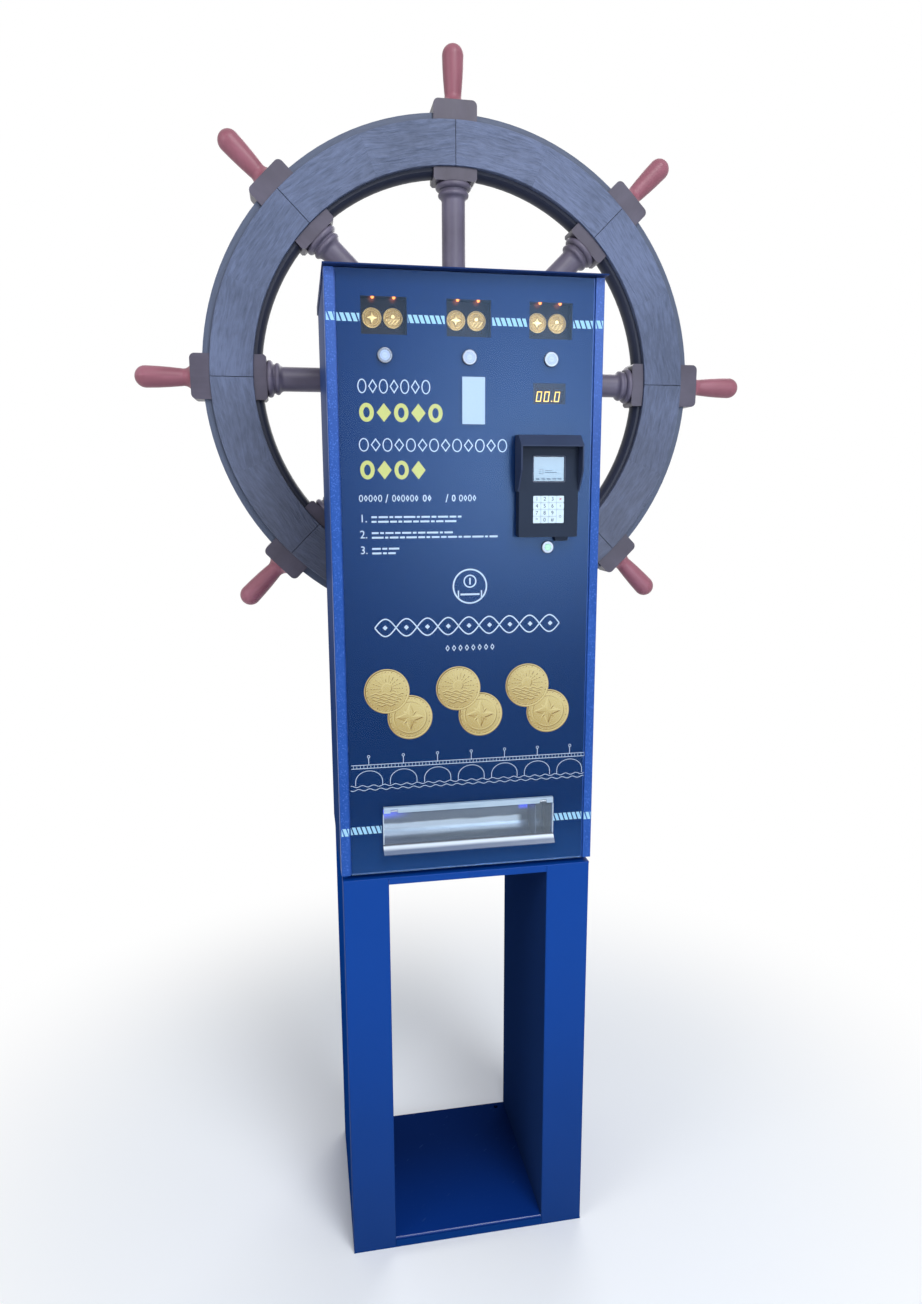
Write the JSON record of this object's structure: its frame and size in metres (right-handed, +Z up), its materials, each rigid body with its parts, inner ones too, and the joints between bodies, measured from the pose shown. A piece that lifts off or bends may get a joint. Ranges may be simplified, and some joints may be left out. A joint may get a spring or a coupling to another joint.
{
  "type": "souvenir medal vending machine",
  "caption": "Slim blue wall-side medal vending machine on an open portal stand, with glazed door, keypad terminal, delivery flap and a ship's wheel behind",
  "frame": {"origin": "middle of the stand's underside, on the floor", "axes": "+Z up, -Y towards the person using the machine, +X to that person's right"},
  "size_m": [1.23, 0.488, 2.25],
  "materials": {
    "stand_paint": "blue powder coat, satin",
    "cabinet_paint": "blue powder coat, fine texture",
    "roof_paint": "dark blue powder coat",
    "seal_rubber": "black foam rubber",
    "lock_chrome": "plated",
    "bolt_steel": "zinc plated",
    "door_paint": "blue powder coat, fine texture",
    "print": "navy print behind the glass",
    "panel_glass": "clear, polished",
    "box_dark": "dark brown, matt",
    "medal_brass": "struck, polished",
    "lamp_warm": "clear lens, lit",
    "display_black": "dark number display with amber figures",
    "bezel_steel": "stainless",
    "button_blue": "lit pale blue cap",
    "button_green": "lit green cap",
    "terminal_grey": "dark grey moulding",
    "hood_grey": "dark grey moulding",
    "screen": "grey display glass",
    "key_white": "white key, plain figure",
    "key_red": "red key",
    "key_yellow": "yellow key",
    "key_green": "green key",
    "acrylic": "clear acrylic, polished edges",
    "pin_steel": "stainless",
    "tray_steel": "stainless, brushed",
    "magazine_steel": "zinc plated",
    "slide_aluminium": "plain",
    "actuator_black": "black case",
    "control_grey": "light grey paint",
    "rim_core_wood": "dark varnished timber",
    "rim_board_wood": "grey-blue brushed timber",
    "spoke_wood": "dark varnished timber",
    "handle_wood": "reddish worn timber",
    "hub_wood": "dark varnished timber",
    "axle_steel": "oiled"
  },
  "bodies": {
    "frame": {"base_tray": "stand_paint", "stand_columns": "stand_paint", "stand_top": "stand_paint", "cabinet_left_side": "cabinet_paint", "cabinet_right_side": "cabinet_paint", "cabinet_back": "cabinet_paint", "cabinet_floor": "cabinet_paint", "roof_sheet": "roof_paint", "door_seal": "seal_rubber", "lock_barrel": "lock_chrome", "hex_bolts": "bolt_steel", "medal_magazines": "magazine_steel", "ejector_actuators": "actuator_black", "medal_chute": "tray_steel", "control_box": "control_grey", "wheel_axle": "axle_steel"},
    "door": {"door_shell": "door_paint", "door_keeper": "bolt_steel", "print_film": "print", "front_glass": "panel_glass", "display_boxes": "box_dark", "display_medals": "medal_brass", "led_lamps": "lamp_warm", "price_display": "display_black", "button_housings": "bezel_steel", "terminal_body": "terminal_grey", "terminal_hood": "hood_grey", "terminal_screen": "screen", "delivery_rail": "acrylic", "delivery_pin": "pin_steel", "delivery_tray": "tray_steel"},
    "lock": {"lock_hook": "lock_chrome"},
    "cover": {"delivery_cover": "acrylic"},
    "slide_1": {"ejector_slide_1": "slide_aluminium"},
    "slide_2": {"ejector_slide_2": "slide_aluminium"},
    "slide_3": {"ejector_slide_3": "slide_aluminium"},
    "wheel": {"wheel_core": "rim_core_wood", "wheel_felloes": "rim_board_wood", "wheel_spokes": "spoke_wood", "wheel_handles": "handle_wood", "wheel_hub": "hub_wood"},
    "button_1": {"medal_button_1": "button_blue"},
    "button_2": {"medal_button_2": "button_blue"},
    "button_3": {"medal_button_3": "button_blue"},
    "status": {"status_button": "button_green"},
    "key_1_cap": {"key_1": "key_white"},
    "key_2_cap": {"key_2": "key_white"},
    "key_3_cap": {"key_3": "key_white"},
    "key_cancel_cap": {"key_cancel": "key_red"},
    "key_4_cap": {"key_4": "key_white"},
    "key_5_cap": {"key_5": "key_white"},
    "key_6_cap": {"key_6": "key_white"},
    "key_clear_cap": {"key_clear": "key_yellow"},
    "key_7_cap": {"key_7": "key_white"},
    "key_8_cap": {"key_8": "key_white"},
    "key_9_cap": {"key_9": "key_white"},
    "key_enter_cap": {"key_enter": "key_green"},
    "key_star_cap": {"key_star": "key_white"},
    "key_0_cap": {"key_0": "key_white"},
    "key_hash_cap": {"key_hash": "key_white"}
  },
  "joints": [
    {"name": "door_hinge", "type": "hinge", "parent": "frame", "child": "door", "pos_m": [-0.217, -0.1465, 0.765], "axis": [0, 0, -1], "range_deg": [0, 100]},
    {"name": "lock_turn", "type": "hinge", "parent": "frame", "child": "lock", "pos_m": [0.225, -0.1015, 1.26], "axis": [-1, 0, 0], "range_deg": [0, 40]},
    {"name": "cover_hinge", "type": "hinge", "parent": "door", "child": "cover", "pos_m": [0, -0.172, 0.8795], "axis": [-1, 0, 0], "range_deg": [0, 80]},
    {"name": "wheel_spin", "type": "hinge", "parent": "frame", "child": "wheel", "pos_m": [0.044, 0.2165, 1.635], "axis": [0, 1, 0], "continuous": true},
    {"name": "ejector_1_push", "type": "slide", "parent": "frame", "child": "slide_1", "axis": [0, -1, 0], "range_m": [0, 0.033]},
    {"name": "ejector_2_push", "type": "slide", "parent": "frame", "child": "slide_2", "axis": [0, -1, 0], "range_m": [0, 0.033]},
    {"name": "ejector_3_push", "type": "slide", "parent": "frame", "child": "slide_3", "axis": [0, -1, 0], "range_m": [0, 0.033]},
    {"name": "button_1_press", "type": "slide", "parent": "door", "child": "button_1", "axis": [0, 1, 0], "range_m": [0, 0.0018], "stiffness_N_per_m": 800, "springref_m": -0.0006},
    {"name": "button_2_press", "type": "slide", "parent": "door", "child": "button_2", "axis": [0, 1, 0], "range_m": [0, 0.0018], "stiffness_N_per_m": 800, "springref_m": -0.0006},
    {"name": "button_3_press", "type": "slide", "parent": "door", "child": "button_3", "axis": [0, 1, 0], "range_m": [0, 0.0018], "stiffness_N_per_m": 800, "springref_m": -0.0006},
    {"name": "status_press", "type": "slide", "parent": "door", "child": "status", "axis": [0, 1, 0], "range_m": [0, 0.0018], "stiffness_N_per_m": 800, "springref_m": -0.0006},
    {"name": "key_1_press", "type": "slide", "parent": "door", "child": "key_1_cap", "axis": [0, 1, 0], "range_m": [0, 0.001], "stiffness_N_per_m": 600, "springref_m": -0.0005},
    {"name": "key_2_press", "type": "slide", "parent": "door", "child": "key_2_cap", "axis": [0, 1, 0], "range_m": [0, 0.001], "stiffness_N_per_m": 600, "springref_m": -0.0005},
    {"name": "key_3_press", "type": "slide", "parent": "door", "child": "key_3_cap", "axis": [0, 1, 0], "range_m": [0, 0.001], "stiffness_N_per_m": 600, "springref_m": -0.0005},
    {"name": "key_cancel_press", "type": "slide", "parent": "door", "child": "key_cancel_cap", "axis": [0, 1, 0], "range_m": [0, 0.001], "stiffness_N_per_m": 600, "springref_m": -0.0005},
    {"name": "key_4_press", "type": "slide", "parent": "door", "child": "key_4_cap", "axis": [0, 1, 0], "range_m": [0, 0.001], "stiffness_N_per_m": 600, "springref_m": -0.0005},
    {"name": "key_5_press", "type": "slide", "parent": "door", "child": "key_5_cap", "axis": [0, 1, 0], "range_m": [0, 0.001], "stiffness_N_per_m": 600, "springref_m": -0.0005},
    {"name": "key_6_press", "type": "slide", "parent": "door", "child": "key_6_cap", "axis": [0, 1, 0], "range_m": [0, 0.001], "stiffness_N_per_m": 600, "springref_m": -0.0005},
    {"name": "key_clear_press", "type": "slide", "parent": "door", "child": "key_clear_cap", "axis": [0, 1, 0], "range_m": [0, 0.001], "stiffness_N_per_m": 600, "springref_m": -0.0005},
    {"name": "key_7_press", "type": "slide", "parent": "door", "child": "key_7_cap", "axis": [0, 1, 0], "range_m": [0, 0.001], "stiffness_N_per_m": 600, "springref_m": -0.0005},
    {"name": "key_8_press", "type": "slide", "parent": "door", "child": "key_8_cap", "axis": [0, 1, 0], "range_m": [0, 0.001], "stiffness_N_per_m": 600, "springref_m": -0.0005},
    {"name": "key_9_press", "type": "slide", "parent": "door", "child": "key_9_cap", "axis": [0, 1, 0], "range_m": [0, 0.001], "stiffness_N_per_m": 600, "springref_m": -0.0005},
    {"name": "key_enter_press", "type": "slide", "parent": "door", "child": "key_enter_cap", "axis": [0, 1, 0], "range_m": [0, 0.001], "stiffness_N_per_m": 600, "springref_m": -0.0005},
    {"name": "key_star_press", "type": "slide", "parent": "door", "child": "key_star_cap", "axis": [0, 1, 0], "range_m": [0, 0.001], "stiffness_N_per_m": 600, "springref_m": -0.0005},
    {"name": "key_0_press", "type": "slide", "parent": "door", "child": "key_0_cap", "axis": [0, 1, 0], "range_m": [0, 0.001], "stiffness_N_per_m": 600, "springref_m": -0.0005},
    {"name": "key_hash_press", "type": "slide", "parent": "door", "child": "key_hash_cap", "axis": [0, 1, 0], "range_m": [0, 0.001], "stiffness_N_per_m": 600, "springref_m": -0.0005}
  ]
}
